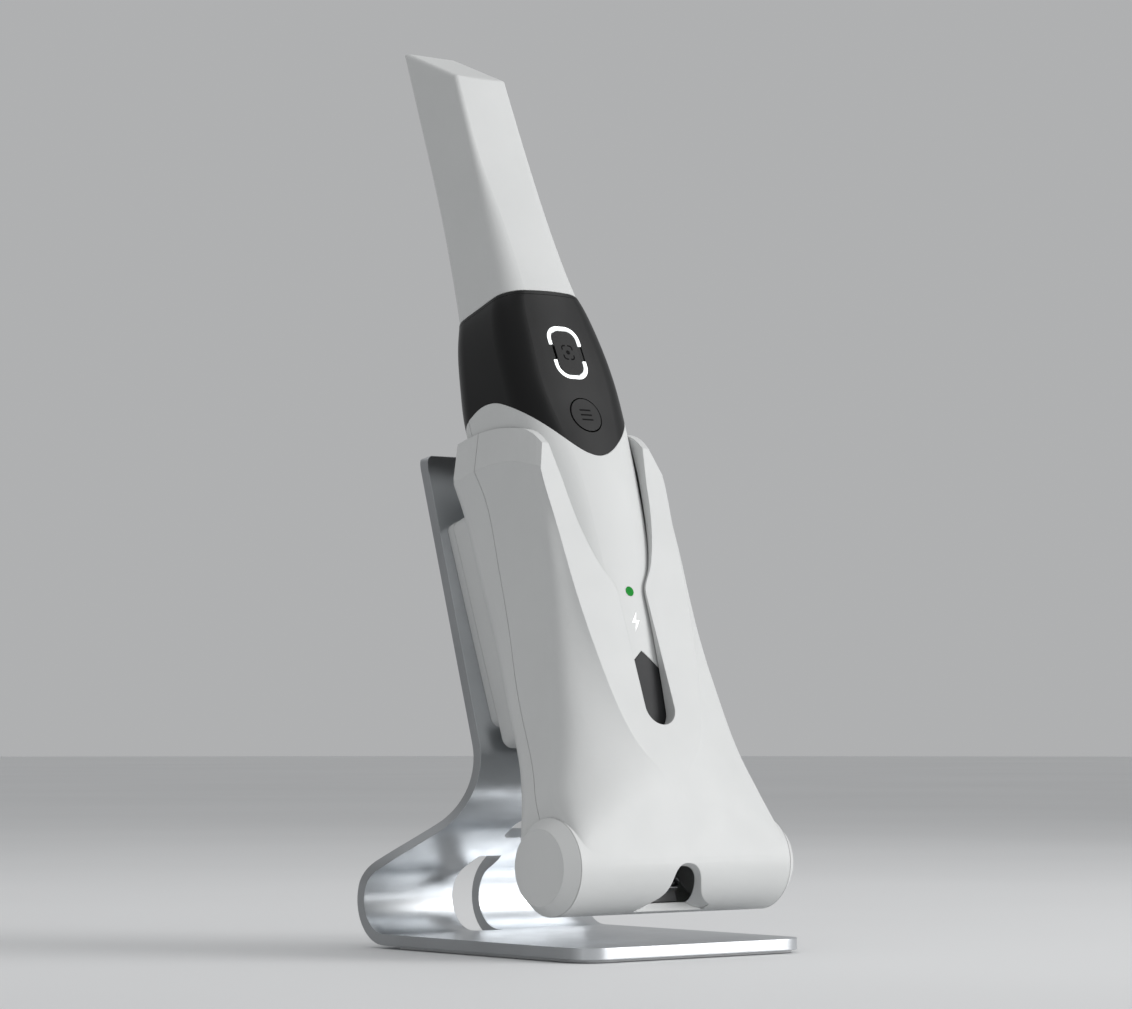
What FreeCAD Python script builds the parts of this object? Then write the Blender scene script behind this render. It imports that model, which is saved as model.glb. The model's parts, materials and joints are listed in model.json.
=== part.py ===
# Intraoral camera: a cordless scanning handpiece with a pull-off tip, standing in a
# charging cradle that is held by a bent aluminium stand.
# Millimetres, +Z up, +X to the right when facing the buttons, -Y to the front.
# The origin is on the table, below the centre of the whole object.
import FreeCAD, Part
import math
import os

V = FreeCAD.Vector

# ---------------------------------------------------------------- driving dimensions
LEAN = 20.5                 # backward lean of cradle, handpiece and stand upright, degrees
AXIS_Y = -45.48             # axis of the cradle's foot cylinder
AXIS_Z = 25.94

SHEET = 3.3                 # stand sheet thickness
BASE_HALF_W = 42.8
BASE_TOP_Z = 4.1
BASE_FRONT_Y = AXIS_Y - 18.69
BASE_FLAT = 93.0            # length of the flat base up to the rear bend
BEND_R = 9.8                # inner radius of the rear bend
RAMP_ANGLE = 28.6           # slope of the sheet between the two bends, degrees
KNEE_R = 22.0               # outer radius of the bend into the upright
UPRIGHT_D = 32.2            # front face of the upright, measured back from the foot axis
UPRIGHT_TOP = 141.8         # height of the upright along the leaning axis
BASE_CORNER_R = 9.0
PAD_T = 0.8

FOOT_R = 14.03              # cradle foot cylinder
FOOT_HALF_LEN = 39.5
CAP_FACE_X = 43.6
CAP_FACE_R = 10.9
FACET_D = -17.43            # flat front face of the cradle
SEAM_D = 8.3                # upright stretch of the seam between the cradle shells
SEAM_BEND_S = 66.0          # below this the seam swings forward to the foot axis
FIT = 0.5                   # clearance between handpiece and cradle
CAVITY_FLOOR = 21.4

SHELL = 2.0                 # handpiece wall
TIP_WALL = 1.5
JOINT_S = 177.0             # height of the joint between handpiece and tip
COLLAR_TOP = 175.9          # above this the nose's flange closes the collar
GAP = 0.15                  # parting gap between fixed pieces
MOVE_GAP = 0.4              # gap round a button
TIP_FIT = 0.3               # gap between nose and tip
END_SLANT = 42.4            # slant of the tip's end, degrees
END_S = 254.2               # front edge of the slanted end
NOSE_TOP = 222.0

SCAN_S = 155.8              # scan button centre
SCAN_HALF_W = 4.95          # inside of the light guides
SCAN_HALF_L = 7.75
SCAN_CORNER_R = 3.6
GUIDE_W = 1.2
GUIDE_GROOVE = 0.3          # depth of the groove that joins the two light guides
MODE_S = 134.7
MODE_R = 5.4
LED_S = 78.2
LED_R = 1.45
BOLT_S = 68.9

# Stations of the handpiece body: height, half width, front, back, front and back corner
# size, and how far the front face is crowned.
BODY = [
    (22.0, 14.2, -9.8, 9.0, 8.5, 7.0, 0.5),
    (34.0, 15.8, -12.2, 11.0, 9.5, 8.0, 0.5),
    (50.0, 17.0, -14.3, 13.6, 10.5, 9.0, 0.5),
    (66.0, 18.0, -15.9, 15.8, 11.0, 9.5, 0.5),
    (84.0, 18.8, -16.8, 17.6, 11.6, 9.5, 0.5),
    (104.0, 19.4, -17.5, 19.0, 11.8, 9.5, 0.5),
    (121.0, 19.9, -17.7, 19.9, 11.0, 9.5, 0.6),
    (134.0, 20.4, -16.6, 20.4, 9.2, 9.5, 0.7),
    (146.0, 20.6, -15.8, 20.4, 8.1, 9.3, 0.8),
    (156.0, 20.2, -15.2, 19.1, 8.1, 9.2, 0.8),
    (164.0, 19.3, -14.5, 18.3, 7.9, 9.0, 0.8),
    (171.0, 17.9, -13.7, 17.4, 7.4, 8.4, 0.7),
    (177.0, 15.7, -13.2, 16.9, 7.1, 7.4, 0.6),
]
TIP = [
    (177.0, 15.4, -13.0, 16.4, 7.0, 6.8, 0.6),
    (188.0, 14.2, -11.5, 15.8, 6.4, 5.6, 0.4),
    (202.0, 13.0, -9.9, 15.2, 5.2, 4.4, 0.3),
    (220.0, 11.6, -8.0, 15.1, 2.8, 3.2, 0.2),
    (240.0, 10.7, -6.9, 15.1, 1.8, 2.1, 0.2),
    (260.0, 10.1, -6.35, 15.5, 1.7, 1.9, 0.2),
    (282.0, 9.5, -5.8, 16.0, 1.6, 1.6, 0.2),
]
# Stations of the cradle's outside: height, facet half width, half width, front, back,
# back corner size, angle of the crease beside the facet, depth of the widest line, and
# how full the curve between the two is.
CRADLE = [
    (-3.0, 20.0, 39.4, -13.7, 13.4, 2.0, 0.0, -11.0, 1.0),
    (2.0, 18.0, 39.4, -14.45, 13.9, 2.4, 0.0, -10.8, 1.0),
    (8.0, 12.0, 39.3, -15.4, 13.9, 4.0, 0.0, -9.2, 0.82),
    (14.0, 7.0, 38.95, -16.5, 14.1, 6.8, 0.0, -7.0, 0.7),
    (20.0, 4.4, 38.1, -17.2, 14.6, 9.7, 1.0, -5.5, 0.65),
    (27.0, 9.2, 35.8, -17.43, 15.8, 10.6, 7.0, -5.0, 0.64),
    (36.0, 14.0, 33.3, -17.43, 17.4, 11.2, 14.0, -5.0, 0.64),
    (48.0, 17.1, 31.2, -17.43, 20.0, 12.2, 24.0, -5.5, 0.64),
    (62.0, 19.4, 29.0, -17.43, 22.0, 12.2, 38.0, -6.5, 0.64),
    (80.0, 21.4, 26.8, -17.43, 23.2, 11.0, 48.0, -8.5, 0.72),
    (100.0, 22.5, 25.3, -17.43, 24.0, 8.8, 52.0, -9.5, 0.8),
    (120.0, 23.1, 25.1, -17.43, 24.4, 8.2, 52.0, -9.5, 0.8),
    (141.0, 23.2, 25.1, -17.43, 24.4, 8.2, 52.0, -9.5, 0.8),
]
# The rim rises from the prongs to the back: depth, lower edge of its chamfer and rim.
RIM = [
    (-25.0, 22.9, 115.6, 20.4, 123.3),
    (-18.0, 22.9, 116.3, 20.4, 123.6),
    (-16.0, 23.4, 119.0, 20.8, 126.8),
    (-14.0, 23.8, 121.2, 21.1, 129.3),
    (-12.0, 24.1, 122.8, 21.3, 131.0),
    (-10.0, 24.4, 124.0, 21.5, 132.2),
    (-6.0, 24.6, 126.0, 21.5, 134.1),
    (-1.0, 24.6, 128.2, 21.5, 136.1),
    (5.0, 24.6, 130.0, 21.5, 137.8),
    (12.0, 24.6, 131.2, 21.5, 139.0),
    (30.0, 24.6, 131.6, 21.5, 139.8),
]


# ---------------------------------------------------------------- small helpers
def lean(shape):
    """Place a shape modelled upright about the foot axis into the leaning frame."""
    placed = shape.copy()
    placed.rotate(V(0, 0, 0), V(1, 0, 0), -LEAN)
    placed.translate(V(0, AXIS_Y, AXIS_Z))
    return placed


def write(name, *solids):
    """Write the solids of one node."""
    flat = []
    for solid in solids:
        flat.extend(solid.Solids)
    for solid in flat:
        if not solid.isValid():
            print("not valid:", name)
    shape = flat[0] if len(flat) == 1 else Part.makeCompound(flat)
    shape.exportStep("parts/%s.step" % name)
    print("%-22s %d solids %9.1f mm3" % (name, len(flat), sum(s.Volume for s in flat)))


def box(x0, x1, y0, y1, z0, z1):
    return Part.makeBox(x1 - x0, y1 - y0, z1 - z0, V(x0, y0, z0))


def rod(radius, start, end):
    """Cylinder between two points."""
    run = end - start
    return Part.makeCylinder(radius, run.Length, start, run)


def line(a, b):
    return Part.LineSegment(a, b).toShape()


def bezier(*points):
    curve = Part.BezierCurve()
    curve.setPoles(list(points))
    return curve.toShape()


def polygon_prism(points, direction):
    """Prism from a closed polygon."""
    wire = Part.makePolygon(list(points) + [points[0]])
    return Part.Face(wire).extrude(direction)


def rounded_box(x0, x1, y0, y1, z0, z1, radius, along="Z"):
    """Box whose four edges along one axis are rounded."""
    block = box(x0, x1, y0, y1, z0, z1)
    edges = []
    for edge in block.Edges:
        direction = edge.tangentAt(edge.FirstParameter)
        if abs(getattr(direction, along.lower())) > 0.99:
            edges.append(edge)
    return block.makeFillet(radius, edges)


def scan_outline(grow, y0, y1):
    """The scan button's rounded rectangle, grown all round and extruded front to back."""
    half_w = SCAN_HALF_W + grow
    half_l = SCAN_HALF_L + grow
    return rounded_box(-half_w, half_w, y0, y1, SCAN_S - half_l, SCAN_S + half_l,
                       SCAN_CORNER_R + grow, "Y")


# ---------------------------------------------------------------- sections and lofts
def body_ring(station, inset=0.0, shift=0.0):
    """Closed section of the handpiece: crowned front, rounded corners, flat back."""
    s, w, front, back, rf, rb, crown = station
    w -= inset
    front += inset
    back -= inset
    rf = max(rf - inset, 1.0)
    rb = max(rb - inset, 1.0)
    z = s + shift
    k = 0.45
    xf = w - rf
    xb = w - rb
    ease = (1 - k) * rf * 2 * crown / xf
    right = [
        bezier(V(xf, front + crown, z), V(w - k * rf, front + crown + ease, z),
               V(w, front + crown + k * rf, z), V(w, front + crown + rf, z)),
        line(V(w, front + crown + rf, z), V(w, back - rb, z)),
        bezier(V(w, back - rb, z), V(w, back - k * rb, z), V(w - k * rb, back, z),
               V(xb, back, z)),
    ]
    back_edge = [line(V(xb, back, z), V(-xb, back, z))]
    left = [
        bezier(V(-xb, back, z), V(-w + k * rb, back, z), V(-w, back - k * rb, z),
               V(-w, back - rb, z)),
        line(V(-w, back - rb, z), V(-w, front + crown + rf, z)),
        bezier(V(-w, front + crown + rf, z), V(-w, front + crown + k * rf, z),
               V(-w + k * rf, front + crown + ease, z), V(-xf, front + crown, z)),
    ]
    bow = crown / 0.75
    front_edge = [bezier(V(-xf, front + crown, z), V(-xf / 3, front + crown - bow, z),
                         V(xf / 3, front + crown - bow, z), V(xf, front + crown, z))]
    return Part.Wire(right + back_edge + left + front_edge)


def cradle_ring(station):
    """Closed section of the cradle: flat facet, crease, swelling side, rounded back."""
    s, fw, w, front, back, rb, crease, widest, full = station
    angle = math.radians(crease)
    reach = full * (w - fw)
    out = V(fw + reach * math.cos(angle), front + reach * math.sin(angle), s)
    swell = full * (widest - front)
    k = 0.45
    half = [
        (V(fw, front, s), out, V(w, widest - swell, s), V(w, widest, s)),
        (V(w, widest, s), V(w, back - rb, s)),
        (V(w, back - rb, s), V(w, back - k * rb, s), V(w - k * rb, back, s),
         V(w - rb, back, s)),
    ]
    edges = []
    for points in half:
        edges.append(bezier(*points))
    edges.append(line(V(w - rb, back, s), V(rb - w, back, s)))
    for points in reversed(half):
        edges.append(bezier(*[V(-p.x, p.y, p.z) for p in reversed(points)]))
    edges.append(line(V(-fw, front, s), V(fw, front, s)))
    return Part.Wire(edges)


def loft(rings):
    solid = Part.makeLoft(rings, True, False)
    return solid


def body_loft(stations, inset=0.0, low=0.0, high=0.0):
    """Loft the handpiece stations, inset all round, with its ends moved up or down."""
    rings = []
    last = len(stations) - 1
    for index, station in enumerate(stations):
        shift = low if index == 0 else (high if index == last else 0.0)
        rings.append(body_ring(station, inset, shift))
    return loft(rings)


# ---------------------------------------------------------------- parting surfaces
def wave_cutter(offset):
    """Everything above the wavy joint between the handle shells and the collar."""
    reach = 30.0
    count = 13
    core = 6.0
    rows = []
    for i in range(count):
        x = -reach + 2 * reach * i / (count - 1)
        row = []
        for j in range(count):
            d = -reach + 2 * reach * j / (count - 1)
            square = x * x + d * d + core * core
            height = 136.6 - 8.9 * (d * d - x * x) / square + 7.9 * d / math.sqrt(square)
            row.append(V(x, d, height + offset))
        rows.append(row)
    surface = Part.BSplineSurface()
    surface.interpolate(rows)
    return surface.toShape().extrude(V(0, 0, 120))


def tail_prism(offset):
    """Everything below the chevron joint between battery pack and handle shells."""
    apex = 60.0 + offset
    drop = 10.5
    points = [V(0, -40, apex), V(12.5, -40, apex - drop), V(40, -40, apex - drop),
              V(40, -40, 0), V(-40, -40, 0), V(-40, -40, apex - drop),
              V(-12.5, -40, apex - drop)]
    return polygon_prism(points, V(0, 80, 0))


def seam_prism(offset):
    """Everything in front of the seam between the cradle's two shells."""
    d = SEAM_D + offset
    foot = offset
    wire = Part.Wire([
        line(V(-60, foot, -30), V(-60, foot, 8)),
        bezier(V(-60, foot, 8), V(-60, foot, 24), V(-60, d, SEAM_BEND_S - 24),
               V(-60, d, SEAM_BEND_S)),
        line(V(-60, d, SEAM_BEND_S), V(-60, d, 150)),
        line(V(-60, d, 150), V(-60, -60, 150)),
        line(V(-60, -60, 150), V(-60, -60, -30)),
        line(V(-60, -60, -30), V(-60, foot, -30)),
    ])
    return Part.Face(wire).extrude(V(120, 0, 0))


# ---------------------------------------------------------------- stand
def stand_profile():
    """Closed side profile of the bent sheet: base, rear bend, ramp, knee, upright."""
    ramp = math.radians(RAMP_ANGLE)
    tilt = math.radians(LEAN)
    bend_y = BASE_FRONT_Y + BASE_FLAT
    bend_z = BASE_TOP_Z + BEND_R
    up = V(0, math.sin(tilt), math.cos(tilt))
    back = V(0, math.cos(tilt), -math.sin(tilt))
    axis = V(0, AXIS_Y, AXIS_Z)
    ramp_dir = V(0, -math.cos(ramp), math.sin(ramp))
    ramp_out = V(0, math.sin(ramp), math.cos(ramp))
    ramp_start = V(0, bend_y, bend_z) + ramp_out * BEND_R
    # corner where the ramp's lower face meets the upright's front face
    gap = axis + back * UPRIGHT_D - ramp_start
    along = gap.dot(back) / ramp_dir.dot(back)
    corner = ramp_start + ramp_dir * along
    turn = math.acos(ramp_dir.dot(up))
    tangent = KNEE_R * math.tan(turn / 2)
    knee_low = corner - ramp_dir * tangent
    knee_high = corner + up * tangent
    knee_centre = knee_low + ramp_out * KNEE_R
    bisect = (corner - knee_centre).normalize()
    top_front = axis + back * UPRIGHT_D + up * UPRIGHT_TOP

    def bend_point(radius, degrees):
        a = math.radians(degrees)
        return V(0, bend_y + radius * math.cos(a), bend_z + radius * math.sin(a))

    outer = BEND_R + SHEET
    mid = (90 - RAMP_ANGLE - 90) / 2
    knee_inner = KNEE_R - SHEET
    edges = [
        line(V(0, BASE_FRONT_Y, BASE_TOP_Z), V(0, bend_y, BASE_TOP_Z)),
        Part.Arc(bend_point(BEND_R, -90), bend_point(BEND_R, mid),
                 ramp_start).toShape(),
        line(ramp_start, knee_low),
        Part.Arc(knee_low, knee_centre + bisect * KNEE_R, knee_high).toShape(),
        line(knee_high, top_front),
        line(top_front, top_front + back * SHEET),
        line(top_front + back * SHEET, knee_high + back * SHEET),
        Part.Arc(knee_high + back * SHEET, knee_centre + bisect * knee_inner,
                 knee_low + ramp_out * SHEET).toShape(),
        line(knee_low + ramp_out * SHEET, ramp_start + ramp_out * SHEET),
        Part.Arc(ramp_start + ramp_out * SHEET, bend_point(outer, mid),
                 bend_point(outer, -90)).toShape(),
        line(bend_point(outer, -90), V(0, BASE_FRONT_Y, BASE_TOP_Z - SHEET)),
        line(V(0, BASE_FRONT_Y, BASE_TOP_Z - SHEET), V(0, BASE_FRONT_Y, BASE_TOP_Z)),
    ]
    return Part.Wire(edges)


def stand_outline():
    """Front outline of the stand: full width at the base, waisted, tapering upright."""
    shoulder = BASE_TOP_Z + 15.0
    waist = BASE_TOP_Z + 57.0
    top = BASE_TOP_Z + 143.6
    waist_w = 27.8
    top_w = 23.4
    round_in = 5.0

    def side(sign):
        return [
            line(V(sign * BASE_HALF_W, -100, -5), V(sign * BASE_HALF_W, -100, shoulder)),
            bezier(V(sign * BASE_HALF_W, -100, shoulder),
                   V(sign * (BASE_HALF_W - 0.8), -100, shoulder + 12),
                   V(sign * (waist_w + 1.6), -100, shoulder + 15),
                   V(sign * waist_w, -100, waist)),
            line(V(sign * waist_w, -100, waist),
                 V(sign * (top_w + 0.3), -100, top - round_in)),
            bezier(V(sign * (top_w + 0.3), -100, top - round_in),
                   V(sign * top_w, -100, top - 0.8), V(sign * (top_w - 1), -100, top),
                   V(sign * (top_w - round_in), -100, top)),
        ]

    left = side(-1)
    right = side(1)
    top_edge = line(V(-(top_w - round_in), -100, top), V(top_w - round_in, -100, top))
    base_edge = line(V(-BASE_HALF_W, -100, -5), V(BASE_HALF_W, -100, -5))
    wire = Part.Wire(Part.__sortEdges__(left + [top_edge] + right + [base_edge]))
    return Part.Face(wire).extrude(V(0, 220, 0))


def base_corners(y_front, half_w, radius, z0, z1):
    """What is cut off to round the two front corners of a plate."""
    pieces = []
    for sign in (-1, 1):
        x_in = sign * (half_w - radius)
        x_out = sign * (half_w + 1)
        block = box(min(x_in, x_out), max(x_in, x_out), y_front - 1, y_front + radius,
                    z0, z1)
        centre = V(x_in, y_front + radius, z0)
        pieces.append(block.cut(rod(radius, centre, centre + V(0, 0, z1 - z0))))
    return pieces


CABLE_SLOT_X = -4.4         # the cable slot sits a little to the left of the middle
CABLE_SLOT_HALF_W = 5.0
RAMP_WINDOW_HALF_W = 9.0
RAMP_WINDOW_FAR = 30.8      # its two edges, measured up the ramp from the rear bend
RAMP_WINDOW_NEAR = 20.0
RAMP_WINDOW_R = 4.0


def stand_frame():
    sheet = Part.Face(stand_profile()).extrude(V(2 * BASE_HALF_W + 2, 0, 0))
    sheet.translate(V(-BASE_HALF_W - 1, 0, 0))
    sheet = sheet.common(stand_outline())
    for piece in base_corners(BASE_FRONT_Y, BASE_HALF_W, BASE_CORNER_R, -1, 6):
        sheet = sheet.cut(piece)
    # tall cable slot round the rear bend
    bend_y = BASE_FRONT_Y + BASE_FLAT
    slot = rounded_box(CABLE_SLOT_X - CABLE_SLOT_HALF_W, CABLE_SLOT_X + CABLE_SLOT_HALF_W,
                       bend_y - 2.5, bend_y + 20, BASE_TOP_Z - 6, BASE_TOP_Z + 24.5,
                       CABLE_SLOT_HALF_W - 0.01, "Y")
    notch = rod(CABLE_SLOT_HALF_W, V(CABLE_SLOT_X, bend_y + 1.5, -2),
                V(CABLE_SLOT_X, bend_y + 1.5, BASE_TOP_Z + 4))
    sheet = sheet.cut(slot).cut(notch)
    # window square through the ramp, behind the cradle foot
    window = rounded_box(-RAMP_WINDOW_HALF_W, RAMP_WINDOW_HALF_W, -RAMP_WINDOW_FAR,
                         -RAMP_WINDOW_NEAR, BEND_R - 5, BEND_R + SHEET + 6, RAMP_WINDOW_R, "Z")
    window.rotate(V(0, 0, 0), V(1, 0, 0), -RAMP_ANGLE)
    window.translate(V(0, bend_y, BASE_TOP_Z + BEND_R))
    sheet = sheet.cut(window)
    for x, s in mount_screw_places():
        hole = rod(1.8, V(x, 20, s), V(x, 45, s))
        sheet = sheet.cut(lean(hole))
    return sheet


def mount_screw_places():
    places = []
    for s in (66.0, 104.0):
        for x in (-12.0, 12.0):
            places.append((x, s))
    return places


def base_pad():
    inset = 1.6
    length = BASE_FLAT - 6.0
    half_w = BASE_HALF_W - inset
    pad = box(-half_w, half_w, BASE_FRONT_Y + inset, BASE_FRONT_Y + length, 0, PAD_T)
    for piece in base_corners(BASE_FRONT_Y + inset, half_w, BASE_CORNER_R - inset, -1, 2):
        pad = pad.cut(piece)
    return pad


# ---------------------------------------------------------------- cradle
def cradle_outside():
    body = loft([cradle_ring(station) for station in CRADLE])
    foot = rod(FOOT_R, V(-FOOT_HALF_LEN, 0, 0), V(FOOT_HALF_LEN, 0, 0))
    for cutter in rim_cutter():
        body = body.cut(cutter)
    return body.fuse(foot)


def rim_cutter():
    """What is cut away above the rim and outside its chamfer."""
    curve = Part.BSplineCurve()
    curve.interpolate([V(-50, d, rim_s) for d, _, _, _, rim_s in RIM])
    first, last = RIM[0], RIM[-1]
    wire = Part.Wire([
        curve.toShape(),
        line(V(-50, last[0], last[4]), V(-50, last[0], 170)),
        line(V(-50, last[0], 170), V(-50, first[0], 170)),
        line(V(-50, first[0], 170), V(-50, first[0], first[4])),
    ])
    above = Part.Face(wire).extrude(V(100, 0, 0))
    cutters = [above]
    for sign in (-1, 1):
        rings = []
        for d, low_x, low_s, rim_x, rim_s in RIM:
            run_x = rim_x - low_x
            run_s = rim_s - low_s
            points = [V(sign * (low_x - run_x), d, low_s - run_s),
                      V(sign * (rim_x + run_x), d, rim_s + run_s),
                      V(sign * (rim_x + run_x), d, 170), V(sign * 60, d, 170),
                      V(sign * 60, d, low_s - run_s)]
            rings.append(Part.makePolygon(points + [points[0]]))
        cutters.append(Part.makeLoft(rings, True, True))
    cutters.append(polygon_prism([V(-40, 27.4, 122.0), V(-40, 21.6, 140.0),
                                  V(-40, 19.6, 146.2), V(-40, 60, 146.2),
                                  V(-40, 60, 122.0)], V(80, 0, 0)))
    # the chamfer carried round the two back corners, square to the diagonal
    diagonal = math.sqrt(0.5)
    for sign in (-1, 1):
        points = []
        for out, s in ((31.9, 127.5), (29.3, 136.5), (27.0, 144.5), (60.0, 144.5),
                       (60.0, 127.5)):
            points.append(V(sign * (out - 30) * diagonal, (out + 30) * diagonal, s))
        cutters.append(polygon_prism(points, V(sign * 60 * diagonal, -60 * diagonal, 0)))
    return cutters


def front_opening():
    """The open slot up the cradle's front: wide mouth, pinch, narrow rounded end."""
    low, pinch, high = 41.9, 76.5, 145.0
    r = 5.5

    def side(sign):
        return [
            line(V(sign * r, -30, low), V(sign * 5.3, -30, pinch)),
            bezier(V(sign * 5.3, -30, pinch), V(sign * 5.3, -30, pinch + 5),
                   V(sign * 8.4, -30, pinch + 5.5), V(sign * 10.8, -30, 88.7)),
            bezier(V(sign * 10.8, -30, 88.7), V(sign * 13.4, -30, 95.0),
                   V(sign * 15.3, -30, 104), V(sign * 16.0, -30, 112)),
            line(V(sign * 16.0, -30, 112), V(sign * 18.2, -30, 125)),
            line(V(sign * 18.2, -30, 125), V(sign * 18.4, -30, high)),
        ]

    bottom = Part.Arc(V(-r, -30, low), V(0, -30, low - r), V(r, -30, low)).toShape()
    top = line(V(-18.4, -30, high), V(18.4, -30, high))
    wire = Part.Wire(Part.__sortEdges__(side(-1) + [bottom] + side(1) + [top]))
    return Part.Face(wire).extrude(V(0, 28, 0))


def handle_cavity():
    """Room for the handle, wide enough to lift it straight out."""
    stations = [s for s in BODY if s[0] < 125]
    rings = [body_ring(stations[0], -FIT, CAVITY_FLOOR - stations[0][0])]
    rings += [body_ring(station, -FIT) for station in stations[1:]]
    top = (146.0, 20.5, -17.9, 20.5, 9.5, 9.4, 0.6)
    rings.append(body_ring(top, -FIT))
    return loft(rings)


def cable_arch():
    """Bell-shaped notch for the power lead, open to the front and below."""
    def side(sign):
        return [
            bezier(V(0, -30, -4.2), V(sign * 3.2, -30, -4.2), V(sign * 4.4, -30, -6.0),
                   V(sign * 5.2, -30, -8.2)),
            bezier(V(sign * 5.2, -30, -8.2), V(sign * 6.2, -30, -11.2),
                   V(sign * 7.0, -30, -12.6), V(sign * 13.0, -30, -13.6)),
            line(V(sign * 13.0, -30, -13.6), V(sign * 13.0, -30, -20)),
        ]

    floor = line(V(-13.0, -30, -20), V(13.0, -30, -20))
    wire = Part.Wire(Part.__sortEdges__(side(-1) + side(1) + [floor]))
    return Part.Face(wire).extrude(V(0, 30, 0))


FOOT_BORE_R = 11.6
BOARD_S = 15.6             # top of the charging board
PIN_XS = (-6.0, -2.0, 2.0, 6.0)


def cradle_shells():
    outside = cradle_outside()
    hollow = rod(FOOT_BORE_R, V(-60, 0, 0), V(60, 0, 0))
    board_bay = box(-14, 14, -8.5, 8.5, 0, 18.2)
    body = outside.cut(hollow).cut(board_bay).cut(handle_cavity())
    body = body.cut(front_opening()).cut(cable_arch())
    pin_hole = box(-8.5, 8.5, -2.6, 2.6, 10, 30)
    body = body.cut(pin_hole)
    for x, s, seat in CRADLE_SCREWS:
        body = body.cut(rod(1.35, V(x, seat - 12.5, s), V(x, 60, s)))
        body = body.cut(rod(2.8, V(x, seat, s), V(x, 60, s)))
    front = body.common(seam_prism(-GAP / 2))
    back = body.cut(seam_prism(GAP / 2))
    pad = rounded_box(-21.5, 21.5, 12, 29.2, 46.4, 118.9, 3.0, "Y")
    pad = pad.cut(outside).cut(handle_cavity())
    back = back.fuse(pad)
    for x, s in mount_screw_places():
        back = back.cut(rod(1.45, V(x, 23.2, s), V(x, 45, s)))
    return front, back


def end_cap(sign):
    """Round cap with a bevelled rim and a spigot into the foot."""
    x0 = sign * (FOOT_HALF_LEN + GAP)
    x1 = sign * CAP_FACE_X
    points = [V(x0, 0, 0), V(x0, 0, FOOT_R), V(x1, 0, CAP_FACE_R), V(x1, 0, 0)]
    wire = Part.makePolygon(points + [points[0]])
    cap = Part.Face(wire).revolve(V(0, 0, 0), V(1, 0, 0), 360)
    spigot = rod(FOOT_BORE_R - 0.1, V(x0, 0, 0), V(x0 - sign * 5.0, 0, 0))
    bore = rod(FOOT_BORE_R - 1.9, V(x0, 0, 0), V(x0 - sign * 6.0, 0, 0))
    return cap.fuse(spigot.cut(bore))


def mount_plate():
    plate = rounded_box(-21.5, 21.5, 29.25, UPRIGHT_D - 0.05, 54, 119.2, 3.0, "Y")
    for x, s in mount_screw_places():
        plate = plate.cut(rod(1.8, V(x, 20, s), V(x, 45, s)))
    return plate


def pan_screw(start, direction, shank_r, length, head_r, head_h):
    """Screw with a domed head and a hexagon socket; start is under the head."""
    shank = Part.makeCylinder(shank_r, length, start, direction)
    back = direction * -1
    head = Part.makeCylinder(head_r, head_h, start, back)
    rim = [e for e in head.Edges if e.Closed and
           abs((e.CenterOfMass - start).Length - head_h) < 0.01]
    head = head.makeFillet(head_h * 0.45, rim)
    socket_r = head_r * 0.5
    socket = polygon_prism([V(socket_r * math.cos(math.radians(60 * i)),
                              socket_r * math.sin(math.radians(60 * i)), 0)
                            for i in range(6)], V(0, 0, head_h))
    turn = FreeCAD.Rotation(V(0, 0, 1), back)
    socket.Placement = FreeCAD.Placement(start + back * (head_h * 0.4), turn)
    return head.fuse(shank).cut(socket)


def mount_screws():
    screws = []
    for x, s in mount_screw_places():
        start = V(x, UPRIGHT_D + SHEET + 0.02, s)
        screws.append(pan_screw(start, V(0, -1, 0), 1.4, 11.5, 3.0, 1.7))
    return screws


def ballast_weights():
    weights = []
    for sign in (-1, 1):
        bar = rod(9.4, V(sign * 15.5, 0, 0), V(sign * 38.5, 0, 0))
        weights.append(bar)
    return weights


def charge_board():
    return box(-13, 13, -7.5, 7.5, BOARD_S - 1.0, BOARD_S)


def charge_pins():
    pins = []
    for x in PIN_XS:
        barrel = rod(0.9, V(x, 0, BOARD_S + 0.02), V(x, 0, 19.6))
        plunger = rod(0.55, V(x, 0, 19.6), V(x, 0, 21.7))
        pins.append(barrel.fuse(plunger))
    return pins


def pin_block():
    block = rounded_box(-8.2, 8.2, -2.3, 2.3, BOARD_S + 0.05, 20.6, 1.0)
    for x in PIN_XS:
        block = block.cut(rod(0.95, V(x, 0, 10), V(x, 0, 30)))
    return block


SOCKET_Z = -6.6


def power_socket():
    """Flat oval power inlet, facing forward inside the cable arch."""
    shell = obround_x(4.2, 1.65, -3.4, 4.0)
    mouth = obround_x(3.8, 1.25, -4.0, 2.0)
    tongue = box(-2.9, 2.9, -2.4, 2.2, SOCKET_Z - 0.35, SOCKET_Z + 0.35)
    return shell.cut(mouth).fuse(tongue)


def obround_x(half_w, half_h, y0, y1):
    """Lying stadium shape, extruded front to back, centred on the power inlet."""
    slab = box(half_h - half_w, half_w - half_h, y0, y1, SOCKET_Z - half_h,
               SOCKET_Z + half_h)
    for sign in (-1, 1):
        centre = V(sign * (half_w - half_h), y0, SOCKET_Z)
        slab = slab.fuse(rod(half_h, centre, centre + V(0, y1 - y0, 0)))
    return slab.removeSplitter()


def socket_board():
    """Small upright board that carries the power inlet."""
    return box(-8, 8, 4.05, 5.05, -10, 4)


def cradle_screws():
    """Screws that pull the back shell onto the front shell, from behind."""
    screws = []
    for x, s, seat in CRADLE_SCREWS:
        start = V(x, seat + 0.02, s)
        screws.append(pan_screw(start, V(0, -1, 0), 1.3, 12.0, 2.4, 1.6))
    return screws


# across, up and depth of the head's seat
CRADLE_SCREWS = ((-25.0, 24.0, 10.0), (25.0, 24.0, 10.0), (-23.5, 46.0, 13.5),
                 (23.5, 46.0, 13.5))


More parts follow.
